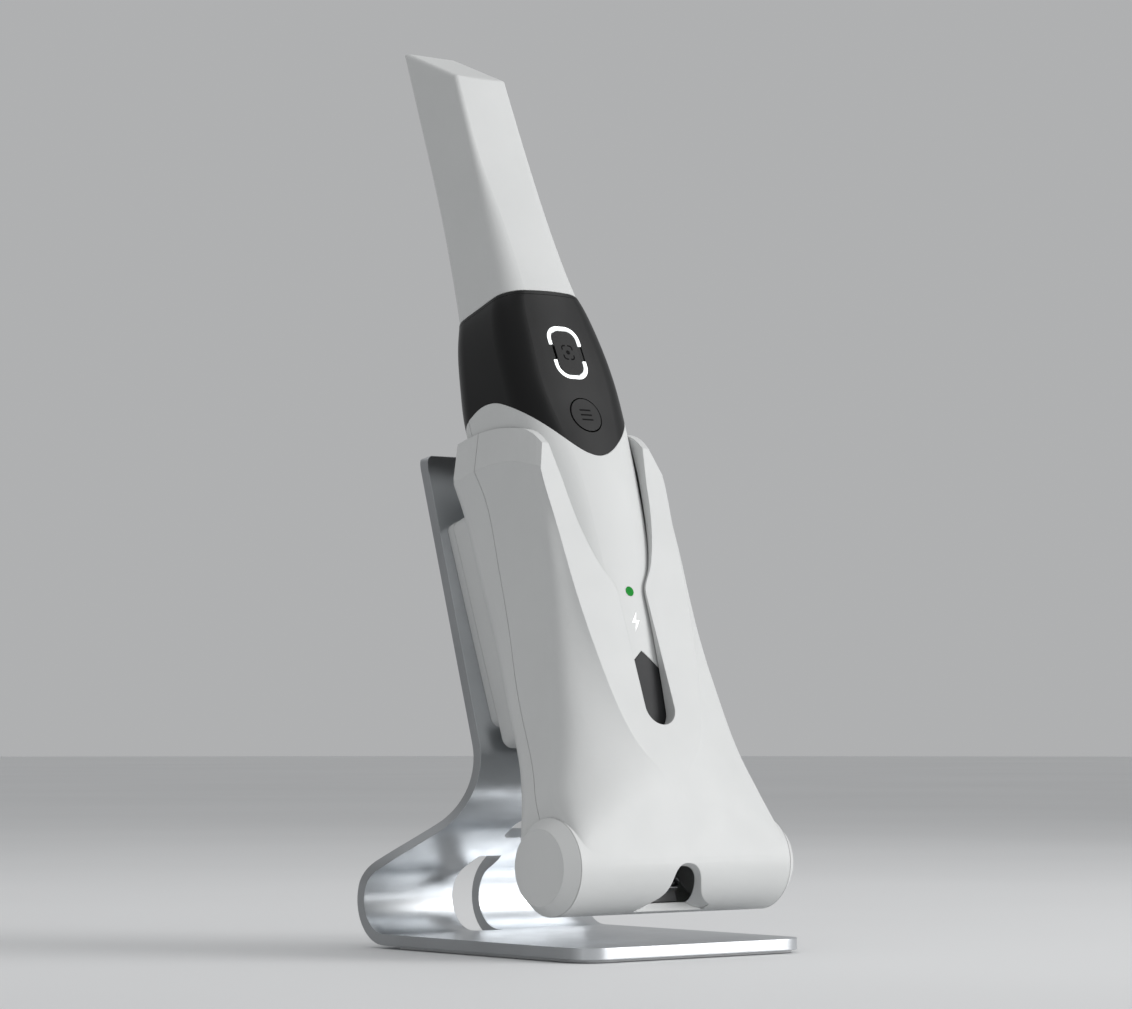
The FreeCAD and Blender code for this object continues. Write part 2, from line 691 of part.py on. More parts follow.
# ---------------------------------------------------------------- handpiece
def handpiece_pieces():
    solid = body_loft(BODY)
    hollow = body_loft(BODY, SHELL, SHELL)
    wall = solid.cut(hollow)
    upper = wave_cutter(GAP / 2)
    lower = wave_cutter(-GAP / 2)
    collar = wall.common(upper).common(box(-40, 40, -40, 40, 0, COLLAR_TOP))
    handle = wall.cut(lower).cut(tail_prism(GAP / 2))
    split = 12.5
    front = handle.common(box(-40, 40, -40, split - GAP / 2, 0, 200))
    back = handle.common(box(-40, 40, split + GAP / 2, 40, 0, 200))
    tail = solid.common(tail_prism(-GAP / 2))
    return collar, front, back, tail


def front_at(s):
    """Depth of the handpiece's front centre line at a height."""
    for low, high in zip(BODY, BODY[1:]):
        if low[0] <= s <= high[0]:
            t = (s - low[0]) / (high[0] - low[0])
            return low[2] + t * (high[2] - low[2])
    return BODY[-1][2]


def skin(low, high, proud, depth):
    """Slice of the handpiece's outer skin between two heights, slightly proud."""
    outer = body_loft(BODY, -proud)
    inner = body_loft(BODY, depth)
    band = box(-40, 40, -40, 0, low, high)
    return outer.common(band).cut(inner)


SIDE_GAP = 2.6              # half height of the dark stretch between the light guides


def guide_ring(y0, y1, clearance=0.0):
    """Ring round the scan button, thinned by a clearance on both faces."""
    outer = scan_outline(GUIDE_W - 2 * clearance, y0, y1)
    return outer.cut(scan_outline(clearance, y0 - 1, y1 + 1))


def beside_button(clearance=0.0):
    """Block over the two stretches beside the button that carry no light guide."""
    half = SIDE_GAP + clearance
    return box(-10, 10, -40, 10, SCAN_S - half, SCAN_S + half)


def bolt_outline(scale, y0, depth):
    """Simple charging flash."""
    shape = ((0.9, 3.1), (-1.5, -0.35), (-0.1, -0.35), (-0.9, -3.1), (1.5, 0.45),
             (0.1, 0.45))
    points = [V(x * scale, y0, BOLT_S + z * scale) for x, z in shape]
    return polygon_prism(points, V(0, depth, 0))


def nose_stations(inset):
    """Tip stations up to the top of the nose."""
    chosen = []
    for low, high in zip(TIP, TIP[1:]):
        if low[0] < NOSE_TOP:
            chosen.append(low)
        if low[0] < NOSE_TOP <= high[0]:
            t = (NOSE_TOP - low[0]) / (high[0] - low[0])
            chosen.append(tuple(a + t * (b - a) for a, b in zip(low, high)))
    return [body_ring(station, inset) for station in chosen]


def nose_housing():
    """Nose that carries the tip: hollow, with a flange that closes the collar."""
    inset = TIP_WALL + TIP_FIT
    nose = loft(nose_stations(inset))
    root = list(TIP[0])
    lower_ring = body_ring(root, inset + 0.4, -10.0)
    upper_ring = body_ring(root, inset + 0.4)
    nose = nose.fuse(loft([lower_ring, upper_ring]))
    hollow = loft(nose_stations(inset + 1.5))
    hollow_root = loft([body_ring(root, inset + 1.5, -11.0), body_ring(root, inset + 1.5)])
    nose = nose.cut(hollow).cut(hollow_root)
    flange = body_loft(BODY).common(box(-40, 40, -40, 40, COLLAR_TOP + 0.1, JOINT_S))
    flange = flange.cut(hollow_root).cut(hollow)
    return nose.fuse(flange)


def end_plane_prism(offset):
    """Everything above the slanted end of the tip."""
    slope = math.tan(math.radians(END_SLANT))
    front = TIP[-1][2]
    y0, y1 = -40.0, 50.0
    points = [V(-40, y0, END_S + offset + (y0 - front) * slope),
              V(-40, y1, END_S + offset + (y1 - front) * slope),
              V(-40, y1, 400), V(-40, y0, 400)]
    return polygon_prism(points, V(80, 0, 0))


WINDOW_LOW = 251.5
WINDOW_HIGH = 268.5
WINDOW_HALF_W = 6.9


END_ROUND = 1.7             # rounding of the tip's end
END_FRONT = -6.51           # front, back and half widths of the tip at its slanted end
END_BACK = 15.9
END_FRONT_W = 10.29
END_BACK_W = 9.7


def end_height(d):
    return END_S + (d - TIP[-1][2]) * math.tan(math.radians(END_SLANT))


def end_side_profile():
    """Side view of the tip with its two end corners rounded, as a wide prism."""
    slant = math.radians(END_SLANT)
    along = V(0, math.cos(slant), math.sin(slant))
    normal = V(0, -math.sin(slant), math.cos(slant))
    margin = 0.03
    spread = 1.5            # the sleeve widens below its end, so the cutting faces do too
    front_d = END_FRONT - margin
    back_d = END_BACK + margin
    front_centre = V(0, front_d + END_ROUND, 0)
    front_centre.z = end_height(front_centre.y) - END_ROUND / math.cos(slant)
    back_centre = V(0, back_d - END_ROUND, 0)
    back_centre.z = end_height(back_centre.y) - END_ROUND / math.cos(slant)
    front_mid = (normal + V(0, -1, 0)).normalize()
    back_mid = (normal + V(0, 1, 0)).normalize()
    front_low = front_centre + V(0, -END_ROUND, 0)
    back_low = back_centre + V(0, END_ROUND, 0)
    wire = Part.Wire([
        line(V(0, front_d - spread, 230), front_low),
        Part.Arc(front_low, front_centre + front_mid * END_ROUND,
                 front_centre + normal * END_ROUND).toShape(),
        line(front_centre + normal * END_ROUND, back_centre + normal * END_ROUND),
        Part.Arc(back_centre + normal * END_ROUND, back_centre + back_mid * END_ROUND,
                 back_low).toShape(),
        line(back_low, V(0, back_d, 230)),
        line(V(0, back_d, 230), V(0, 30, 230)),
        line(V(0, 30, 230), V(0, 30, 150)),
        line(V(0, 30, 150), V(0, -30, 150)),
        line(V(0, -30, 150), V(0, -30, 230)),
        line(V(0, -30, 230), V(0, front_d - spread, 230)),
    ])
    prism = Part.Face(wire).extrude(V(60, 0, 0))
    prism.translate(V(-30, 0, 0))
    return prism


def end_cross_profile(d, half_w):
    """Upright section whose two top corners are rounded, at one depth."""
    top = end_height(d)
    r = END_ROUND
    lift = r / math.cos(math.radians(END_SLANT))
    k = 0.45
    w = half_w + 0.02
    low_w = w + 3.5
    return Part.Wire([
        line(V(-low_w, d, 200), V(-w, d, top - lift)),
        bezier(V(-w, d, top - lift), V(-w, d, top - k * lift), V(k * r - w, d, top),
               V(r - w, d, top)),
        line(V(r - w, d, top), V(w - r, d, top)),
        bezier(V(w - r, d, top), V(w - k * r, d, top), V(w, d, top - k * lift),
               V(w, d, top - lift)),
        line(V(w, d, top - lift), V(low_w, d, 200)),
        line(V(low_w, d, 200), V(-low_w, d, 200)),
    ])


def end_rounding(sleeve):
    """Round the sleeve's slanted end at the front, the back and both sides."""
    sleeve = sleeve.common(end_side_profile())
    grow = (END_FRONT_W - END_BACK_W) / (END_BACK - END_FRONT) * 4
    walls = Part.makeLoft([end_cross_profile(END_FRONT - 4, END_FRONT_W + grow),
                           end_cross_profile(END_BACK + 4, END_BACK_W - grow)], True, True)
    above = box(-30, 30, -30, 40, 244, 300)
    return sleeve.cut(above.cut(walls))


def tip_sleeve():
    outer = end_rounding(body_loft(TIP, 0.0, TIP_FIT))
    slope_len = 1.0 / math.cos(math.radians(END_SLANT))
    inner = body_loft(TIP, TIP_WALL, -2.0).cut(end_plane_prism(-TIP_WALL * slope_len))
    window = rounded_box(-WINDOW_HALF_W, WINDOW_HALF_W, 12.5, 30, WINDOW_LOW, WINDOW_HIGH,
                         2.0, "Y")
    return outer.cut(inner).cut(window)


def tip_mirror():
    """Mirror just inside the slanted end, turning the view to the window."""
    slope_len = 1.0 / math.cos(math.radians(END_SLANT))
    space = body_loft(TIP, TIP_WALL + 0.9, -2.0)
    low = end_plane_prism(-(TIP_WALL + 1.4) * slope_len)
    high = end_plane_prism(-(TIP_WALL + 0.15) * slope_len)
    return space.common(low).cut(high)


STEM_D = 3.2                # how deep a button's stem reaches below the skin


def control_pieces(collar):
    """Cut the buttons and light guides out of the collar and return all of them."""
    y0, y1 = -30.0, -8.0
    ring = guide_ring(y0, y1)
    groove = skin(140, 172, 0.5, GUIDE_GROOVE).common(ring).common(beside_button())
    guide_space = ring.cut(beside_button())
    button_space = scan_outline(0.02, y0, y1)
    mode_space = rod(MODE_R + MOVE_GAP, V(0, y0, MODE_S), V(0, y1, MODE_S))
    collar = collar.cut(guide_space).cut(button_space).cut(mode_space).cut(groove)

    band = skin(120, 172, 0.12, SHELL)
    scan = scan_outline(-MOVE_GAP, y0, y1)
    scan_cap = band.common(scan)
    stem = rod(1.6, V(0, front_at(SCAN_S) + 1.5, SCAN_S),
               V(0, front_at(SCAN_S) + STEM_D, SCAN_S))
    scan_button = scan_cap.fuse(stem)
    mode_cap = band.common(rod(MODE_R, V(0, y0, MODE_S), V(0, y1, MODE_S)))
    mode_stem = rod(1.4, V(0, front_at(MODE_S) + 1.5, MODE_S),
                    V(0, front_at(MODE_S) + STEM_D, MODE_S))
    mode_button = mode_cap.fuse(mode_stem)
    guides = skin(140, 172, 0.1, SHELL).common(guide_ring(y0, y1, 0.02))
    guides = guides.cut(beside_button(0.04))
    return collar, scan_button, mode_button, guides


def dome_switch(s):
    """Small square switch on the button board, under a button's stem."""
    free = 0.7
    y = front_at(s) + STEM_D + free
    return box(-2.6, 2.6, y, BUTTON_BOARD_D - 0.02, s - 2.6, s + 2.6)


# ---------------------------------------------------------------- inside the handpiece
OPTICS_D = 2.6              # optical axis, measured like the stations' depths
BOARD_D = 8.8               # front of the main board
BUTTON_BOARD_D = -9.4
CELL_TOP = 104.0


def battery_pack(tail):
    """Dark end cap with the cell block that reaches up into the handle."""
    cell = rounded_box(-11.8, 11.8, -7.2, 9.2, 40, CELL_TOP, 2.5)
    pack = tail.fuse(cell)
    for x in PIN_XS:
        pack = pack.cut(rod(1.05, V(x, 0, 10), V(x, 0, 22.9)))
    return pack


def charge_contacts():
    """Gold pads in the end of the battery pack."""
    return [rod(1.0, V(x, 0, 22.0), V(x, 0, 22.8)) for x in PIN_XS]


def battery_contacts():
    """Blade block between the battery pack and the main board."""
    block = box(-6, 6, -1, 5, CELL_TOP + 0.1, CELL_TOP + 3.1)
    for x in (-4.0, 0.0, 4.0):
        block = block.fuse(box(x - 0.4, x + 0.4, 0, 4, CELL_TOP + 3.0, CELL_TOP + 4.4))
    return block


def main_board():
    """Main board with its larger packages on the front."""
    board = box(-12.8, 12.8, BOARD_D, BOARD_D + 1.2, 108, 149)
    packages = ((0.0, 139.0, 11.0, 11.0), (-6.5, 124.0, 8.0, 10.0), (6.5, 124.0, 8.0, 8.0),
                (0.0, 112.5, 14.0, 5.0))
    for x, s, wide, tall in packages:
        board = board.fuse(box(x - wide / 2, x + wide / 2, BOARD_D - 1.1, BOARD_D + 0.1,
                               s - tall / 2, s + tall / 2))
    return board


def heat_sink():
    """Finned plate behind the main board."""
    low_d = BOARD_D + 1.25
    sink = box(-10, 10, low_d, low_d + 1.5, 112, 148)
    fins = 8
    for i in range(fins):
        x = -9.4 + i * 18.8 / (fins - 1)
        sink = sink.fuse(box(x - 0.5, x + 0.5, low_d + 1.4, low_d + 4.6, 113, 147))
    return sink


def optics_barrel():
    """Black tube that holds the lenses, from the light engine up the nose."""
    tube = rod(7.0, V(0, OPTICS_D, 150.5), V(0, OPTICS_D, 214))
    tube = tube.cut(rod(5.8, V(0, OPTICS_D, 140), V(0, OPTICS_D, 220)))
    return tube


def lens_group():
    """Three lenses in the barrel, each a disc with one domed face."""
    lenses = []
    for s, thick, dome in ((158.0, 2.4, 1.0), (176.0, 3.0, 1.3), (208.0, 2.4, 0.9)):
        radius = 5.75
        disc = rod(radius, V(0, OPTICS_D, s), V(0, OPTICS_D, s + thick))
        ball_r = (radius * radius + dome * dome) / (2 * dome)
        ball = Part.makeSphere(ball_r, V(0, OPTICS_D, s + thick + dome - ball_r))
        cap = ball.common(rod(radius, V(0, OPTICS_D, s + thick - 0.05),
                              V(0, OPTICS_D, s + thick + dome + 1)))
        lenses.append(disc.fuse(cap))
    return lenses


def light_engine():
    """Projector block at the foot of the barrel."""
    block = rounded_box(-7.6, 7.6, OPTICS_D - 6.6, OPTICS_D + 4.9, 132.5, 150.4, 1.5)
    return block.cut(rod(4.0, V(0, OPTICS_D, 146), V(0, OPTICS_D, 155)))


def camera_module():
    """Image sensor block below the projector."""
    block = rounded_box(-6.0, 6.0, OPTICS_D - 6.0, OPTICS_D + 4.6, 117.5, 132.3, 1.0)
    return block


def antenna_board():
    return rounded_box(-11.0, 11.0, -9.2, -8.2, 106, 120, 1.5, "Y")


def button_board():
    return rounded_box(-8.0, 8.0, BUTTON_BOARD_D, BUTTON_BOARD_D + 0.8, 127, 165, 1.5, "Y")


def nose_window():
    """Glass pane that closes the nose."""
    inset = TIP_WALL + TIP_FIT + 1.55
    rings = nose_stations(inset)
    pane = loft(rings)
    return pane.common(box(-30, 30, -40, 40, NOSE_TOP - 2.4, NOSE_TOP - 0.9))


def main():
    os.makedirs("parts", exist_ok=True)

    write("stand_frame", stand_frame())
    write("base_pad", base_pad())
    write("mount_plate", lean(mount_plate()))
    write("mount_screws", *[lean(s) for s in mount_screws()])

    front, back = cradle_shells()
    write("cradle_front_shell", lean(front))
    write("cradle_back_shell", lean(back))
    write("left_end_cap", lean(end_cap(-1)))
    write("right_end_cap", lean(end_cap(1)))
    write("ballast_weights", *[lean(s) for s in ballast_weights()])
    write("charge_board", lean(charge_board()))
    write("charge_pins", *[lean(s) for s in charge_pins()])
    write("pin_block", lean(pin_block()))
    write("power_socket", lean(power_socket()))
    write("socket_board", lean(socket_board()))
    write("cradle_screws", *[lean(s) for s in cradle_screws()])

    collar, handle_front, handle_back, tail = handpiece_pieces()
    collar, scan_button, mode_button, guides = control_pieces(collar)
    led_hole = rod(LED_R + 0.03, V(0, -30, LED_S), V(0, -8, LED_S))
    handle_front = handle_front.cut(led_hole).cut(bolt_outline(1.05, -30, 22))
    led = skin(60, 90, 0.05, SHELL).common(rod(LED_R, V(0, -30, LED_S), V(0, -8, LED_S)))
    bolt = skin(60, 90, 0.05, SHELL).common(bolt_outline(1.0, -30, 22))
    write("handle_front_shell", lean(handle_front))
    write("handle_back_shell", lean(handle_back))
    write("battery_pack", lean(battery_pack(tail)))
    write("charge_contacts", *[lean(s) for s in charge_contacts()])
    write("battery_contacts", lean(battery_contacts()))
    write("main_board", lean(main_board()))
    write("heat_sink", lean(heat_sink()))
    write("antenna_board", lean(antenna_board()))
    write("camera_module", lean(camera_module()))
    write("light_engine", lean(light_engine()))
    write("optics_barrel", lean(optics_barrel()))
    write("lens_group", *[lean(s) for s in lens_group()])
    write("button_board", lean(button_board()))
    write("scan_switch", lean(dome_switch(SCAN_S)))
    write("mode_switch", lean(dome_switch(MODE_S)))
    write("nose_window", lean(nose_window()))
    write("control_collar", lean(collar))
    write("scan_button", lean(scan_button))
    write("mode_button", lean(mode_button))
    write("scan_light_guides", lean(guides))
    write("status_led", lean(led))
    write("charge_icon_lens", lean(bolt))
    write("nose_housing", lean(nose_housing()))
    write("tip_sleeve", lean(tip_sleeve()))
    write("tip_mirror", lean(tip_mirror()))


main()
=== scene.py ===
import json
import math

import bmesh
import bpy
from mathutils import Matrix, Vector
from mathutils.bvhtree import BVHTree

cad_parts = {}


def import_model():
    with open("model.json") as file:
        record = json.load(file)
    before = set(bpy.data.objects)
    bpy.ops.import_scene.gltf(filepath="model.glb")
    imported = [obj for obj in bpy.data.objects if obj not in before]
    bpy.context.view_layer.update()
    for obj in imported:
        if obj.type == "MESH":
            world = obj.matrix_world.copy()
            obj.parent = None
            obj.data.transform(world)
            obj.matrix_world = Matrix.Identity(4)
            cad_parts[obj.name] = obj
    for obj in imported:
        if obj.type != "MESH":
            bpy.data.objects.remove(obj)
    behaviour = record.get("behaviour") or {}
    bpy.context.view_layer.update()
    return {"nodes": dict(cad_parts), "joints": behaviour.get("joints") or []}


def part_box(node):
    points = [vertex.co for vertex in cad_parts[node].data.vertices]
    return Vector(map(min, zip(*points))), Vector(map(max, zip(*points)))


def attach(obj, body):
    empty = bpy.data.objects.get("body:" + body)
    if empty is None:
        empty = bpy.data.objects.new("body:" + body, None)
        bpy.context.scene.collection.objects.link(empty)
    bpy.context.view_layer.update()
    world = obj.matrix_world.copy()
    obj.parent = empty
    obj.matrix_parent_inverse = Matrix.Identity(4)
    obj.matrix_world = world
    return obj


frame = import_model()
NODES = frame["nodes"]

# ------------------------------------------------------------------ leaning frame
LIFT = next(j for j in frame["joints"] if j["name"] == "handpiece_lift")
UP = Vector(LIFT["axis"]).normalized()          # along the lean
BACK = Vector((0.0, UP.z, -UP.y))               # away from the front face


def cap_centre():
    low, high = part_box("left_end_cap")
    return Vector((0.0, (low.y + high.y) / 2, (low.z + high.z) / 2))


AXIS = cap_centre()                             # axis of the cradle's foot cylinder


def row(x, d, s):
    """Point of the row frame from x, depth and height in the leaning frame, in mm."""
    return AXIS + Vector((x, 0, 0)) / 1000 + BACK * d / 1000 + UP * s / 1000


# ------------------------------------------------------------------ materials
EDGE_SHADE_TONE = 0.55                            # painted shade on the sheet's side edges (faces turned along x), against its faces
BEVEL_SAMPLES = 4
PLASTIC_TONE_SCALE = 38                         # sizes of the textures, per metre
PLASTIC_GLOSS_SCALE = 90
METAL_TONE_SCALE = 60
METAL_GLOSS_SCALE = 140
GLOW_TONE_SCALE = 700
GLASS_TONE_SCALE = 300
GLASS_GLOSS_SCALE = 500
BOARD_GLOSS_SCALE = 260
TRACK_SCALE = 420


def new_material(name):
    material = bpy.data.materials.new(name)
    material.use_nodes = True
    tree = material.node_tree
    tree.nodes.clear()
    output = tree.nodes.new("ShaderNodeOutputMaterial")
    shader = tree.nodes.new("ShaderNodeBsdfPrincipled")
    tree.links.new(shader.outputs[0], output.inputs[0])
    return material, tree, shader


def noise(tree, scale, detail=2.0):
    coords = tree.nodes.new("ShaderNodeTexCoord")
    texture = tree.nodes.new("ShaderNodeTexNoise")
    texture.inputs["Scale"].default_value = scale
    texture.inputs["Detail"].default_value = detail
    tree.links.new(coords.outputs["Object"], texture.inputs["Vector"])
    return texture.outputs["Fac"]


def ramp(tree, value, low, high, low_at=0.3, high_at=0.7):
    """Map a texture value to a range between two numbers or colours."""
    node = tree.nodes.new("ShaderNodeValToRGB")
    node.color_ramp.elements[0].position = low_at
    node.color_ramp.elements[1].position = high_at
    if isinstance(low, (int, float)):
        low, high = (low,) * 3, (high,) * 3
    node.color_ramp.elements[0].color = (*low, 1)
    node.color_ramp.elements[1].color = (*high, 1)
    tree.links.new(value, node.inputs[0])
    return node.outputs[0]


def edge_round(tree, radius_mm):
    bevel = tree.nodes.new("ShaderNodeBevel")
    bevel.samples = BEVEL_SAMPLES
    bevel.inputs["Radius"].default_value = radius_mm / 1000
    return bevel.outputs[0]


def bump(tree, shader, height, strength, distance_mm, base=None):
    node = tree.nodes.new("ShaderNodeBump")
    node.inputs["Strength"].default_value = strength
    node.inputs["Distance"].default_value = distance_mm / 1000
    tree.links.new(height, node.inputs["Height"])
    if base is not None:
        tree.links.new(base, node.inputs["Normal"])
    tree.links.new(node.outputs[0], shader.inputs["Normal"])


def plastic(name, colour, rough, grain=2600, edge=0.35, spread=0.02, specular=0.5, depth=0.02):
    """Moulded plastic: fine spark texture, slight tone and gloss variation, soft edges."""
    material, tree, shader = new_material(name)
    dark = tuple(max(0.0, c * (1 - spread)) for c in colour)
    light = tuple(min(1.0, c * (1 + spread)) for c in colour)
    tree.links.new(ramp(tree, noise(tree, PLASTIC_TONE_SCALE, 3), dark, light),
                   shader.inputs["Base Color"])
    tree.links.new(ramp(tree, noise(tree, PLASTIC_GLOSS_SCALE, 4), rough * 0.9, rough * 1.1),
                   shader.inputs["Roughness"])
    shader.inputs["Specular IOR Level"].default_value = specular
    bump(tree, shader, noise(tree, grain, 2), 0.25, depth,
         edge_round(tree, edge) if edge else None)
    return material


def metal(name, colour, rough, grain=1800, edge=0.25, depth=0.012):
    material, tree, shader = new_material(name)
    shader.inputs["Metallic"].default_value = 1.0
    dark = tuple(c * 0.93 for c in colour)
    tree.links.new(ramp(tree, noise(tree, METAL_TONE_SCALE, 3), dark, colour),
                   shader.inputs["Base Color"])
    gloss = noise(tree, METAL_GLOSS_SCALE, 3)
    tree.links.new(ramp(tree, gloss, rough * 0.88, rough * 1.12), shader.inputs["Roughness"])
    bump(tree, shader, noise(tree, grain, 2), 0.3, depth,
         edge_round(tree, edge) if edge else None)
    return material


def sheet_metal(name, colour, rough):
    """Blasted and anodised sheet with painted shade on its side edges: faces turned along x are
    darkened against its faces.
    """
    material = metal(name, colour, rough, edge=0.45)
    tree = material.node_tree
    shader = next(n for n in tree.nodes if n.type == "BSDF_PRINCIPLED")
    face_tone = shader.inputs["Base Color"].links[0].from_socket
    coords = tree.nodes.new("ShaderNodeTexCoord")
    split = tree.nodes.new("ShaderNodeSeparateXYZ")
    size = tree.nodes.new("ShaderNodeMath")
    size.operation = "ABSOLUTE"
    mix = tree.nodes.new("ShaderNodeMix")
    mix.data_type = "RGBA"
    mix.blend_type = "MULTIPLY"
    mix.inputs["Factor"].default_value = 1.0
    tree.links.new(coords.outputs["Normal"], split.inputs[0])
    tree.links.new(split.outputs["X"], size.inputs[0])
    tree.links.new(face_tone, mix.inputs["A"])
    # painted shade: faces turned along x, the sheet's cut edges, are darkened here
    tree.links.new(ramp(tree, size.outputs[0], 1.0, EDGE_SHADE_TONE, 0.75, 0.95), mix.inputs["B"])
    tree.links.new(mix.outputs["Result"], shader.inputs["Base Color"])
    return material


def glow(name, colour, strength, rough=0.25, specular=0.5):
    material, tree, shader = new_material(name)
    shader.inputs["Specular IOR Level"].default_value = specular
    soft = tuple(c * 0.85 for c in colour)
    tint = ramp(tree, noise(tree, GLOW_TONE_SCALE, 2), soft, colour)
    tree.links.new(tint, shader.inputs["Base Color"])
    tree.links.new(tint, shader.inputs["Emission Color"])
    shader.inputs["Emission Strength"].default_value = strength
    shader.inputs["Roughness"].default_value = rough
    return material


def glass(name, tint):
    material, tree, shader = new_material(name)
    shader.inputs["Transmission Weight"].default_value = 1.0
    shader.inputs["IOR"].default_value = 1.5
    soft = tuple(c * 0.97 for c in tint)
    tree.links.new(ramp(tree, noise(tree, GLASS_TONE_SCALE, 2), soft, tint),
                   shader.inputs["Base Color"])
    tree.links.new(ramp(tree, noise(tree, GLASS_GLOSS_SCALE, 2), 0.02, 0.05),
                   shader.inputs["Roughness"])
    return material


def board(name, colour):
    """Circuit board: solder mask over a faint pattern of tracks."""
    material, tree, shader = new_material(name)
    coords = tree.nodes.new("ShaderNodeTexCoord")
    bricks = tree.nodes.new("ShaderNodeTexBrick")
    bricks.inputs["Scale"].default_value = TRACK_SCALE
    bricks.inputs["Mortar Size"].default_value = 0.03
    bricks.inputs["Color1"].default_value = (*colour, 1)
    bricks.inputs["Color2"].default_value = (*[c * 0.8 for c in colour], 1)
    bricks.inputs["Mortar"].default_value = (*[min(1, c * 1.8 + 0.02) for c in colour], 1)
    tree.links.new(coords.outputs["Object"], bricks.inputs["Vector"])
    tree.links.new(bricks.outputs["Color"], shader.inputs["Base Color"])
    tree.links.new(ramp(tree, noise(tree, BOARD_GLOSS_SCALE, 2), 0.3, 0.45),
                   shader.inputs["Roughness"])
    return material


WHITE = plastic("white_plastic", (0.66, 0.668, 0.663), 0.45, specular=0.42)
BLACK = plastic("black_plastic", (0.006, 0.0061, 0.0063), 0.36, edge=0.2, specular=0.24,
                depth=0.02)
GREY = plastic("grey_plastic", (0.036, 0.0365, 0.038), 0.5, edge=0.3, specular=0.2,
               depth=0.03)
ALUMINIUM = metal("blasted_aluminium", (0.66, 0.68, 0.70), 0.33, edge=0.4)
SHEET_METAL = sheet_metal("anodised_sheet", (0.66, 0.68, 0.70), 0.34)
STEEL = metal("zinc_plate", (0.52, 0.53, 0.54), 0.32)
DARK_METAL = metal("black_anodised", (0.05, 0.05, 0.055), 0.4)
GOLD = metal("gold_plate", (0.83, 0.62, 0.26), 0.22, edge=None)
RUBBER = plastic("pad_rubber", (0.55, 0.555, 0.56), 0.8, grain=900, edge=0.2, depth=0.06)
INNER_GREY = plastic("inside_grey", (0.45, 0.452, 0.455), 0.6, grain=1200, edge=None,
                     depth=0.04)
GREEN_BOARD = board("green_board", (0.01, 0.12, 0.045))
BLUE_BOARD = board("blue_board", (0.01, 0.04, 0.16))
GUIDE = glow("guide_light", (0.92, 0.95, 0.95), 1.1)
FLASH = glow("flash_light", (0.95, 0.96, 0.96), 0.45)
LED = glow("led_green", (0.0, 0.27, 0.022), 0.03, 0.5, 0.12)
# signs' material: the darker colour is painted shade of the engraved grooves, the matte gloss is
# the engraving's own texture
SIGN_SHADE = plastic("engraving_shade", (0.0035, 0.0035, 0.0037), 0.7, edge=None, specular=0.1)
MIRROR = metal("mirror_silver", (0.9, 0.91, 0.93), 0.03, edge=None, depth=0.0005)
GLASS = glass("clear_glass", (0.93, 0.97, 1.0))

FINISH = {
    "stand_frame": SHEET_METAL, "base_pad": RUBBER, "mount_plate": WHITE, "mount_screws": STEEL,
    "cradle_front_shell": WHITE, "cradle_back_shell": WHITE, "left_end_cap": WHITE,
    "right_end_cap": WHITE, "ballast_weights": INNER_GREY, "charge_board": GREEN_BOARD,
    "charge_pins": GOLD, "pin_block": BLACK, "power_socket": STEEL, "socket_board": INNER_GREY,
    "cradle_screws": STEEL, "handle_front_shell": WHITE, "handle_back_shell": WHITE,
    "battery_pack": GREY, "charge_contacts": GOLD, "battery_contacts": GOLD,
    "main_board": GREEN_BOARD, "heat_sink": ALUMINIUM, "antenna_board": BLUE_BOARD,
    "camera_module": BLACK, "light_engine": BLACK, "optics_barrel": DARK_METAL,
    "lens_group": GLASS, "button_board": GREEN_BOARD, "scan_switch": STEEL,
    "mode_switch": STEEL, "nose_window": GLASS, "control_collar": BLACK, "scan_button": BLACK,
    "mode_button": BLACK, "scan_light_guides": GUIDE, "status_led": LED,
    "charge_icon_lens": FLASH, "nose_housing": BLACK, "tip_sleeve": WHITE, "tip_mirror": MIRROR,
}
for node_name, node in NODES.items():
    node.data.materials.clear()
    node.data.materials.append(FINISH[node_name])


# ------------------------------------------------------------------ engraved signs
SCAN_S = 155.8                                  # heights of the two buttons' centres, mm
MODE_S = 134.7
START_D = -40.0                                 # in front of the handpiece
SIGN_PROUD = 0.02
SIGN_DEPTH = 0.25
SIGN_HALF_W = 1.9                               # corner brackets on the upper button
SIGN_HALF_H = 2.3
SIGN_BEND_R = 0.9
SIGN_ARM = 0.55
SIGN_LINE = 0.24                                # half the width of a stroke
DOT_R = 0.42
DOT_LINE = 0.30
BAR_LEVELS = (-1.6, 0.0, 1.6)                   # three bars on the lower button
BAR_HALF_L = 2.1
BAR_STEPS = 12
BAR_LINE = 0.26


def surface_of(name):
    """Ray target made from one carried-over node."""
    depsgraph = bpy.context.evaluated_depsgraph_get()
    return BVHTree.FromObject(NODES[name], depsgraph), NODES[name].matrix_world


def depth_at(target, x, s):
    """Depth of a node's front face at a place across and up, in mm."""
    tree, matrix = target
    inverse = matrix.inverted()
    start = inverse @ row(x, START_D, s)
    direction = (inverse.to_3x3() @ BACK).normalized()
    hit = tree.ray_cast(start, direction)[0]
    return START_D if hit is None else START_D + (matrix @ hit - row(x, START_D, s)).length * 1000


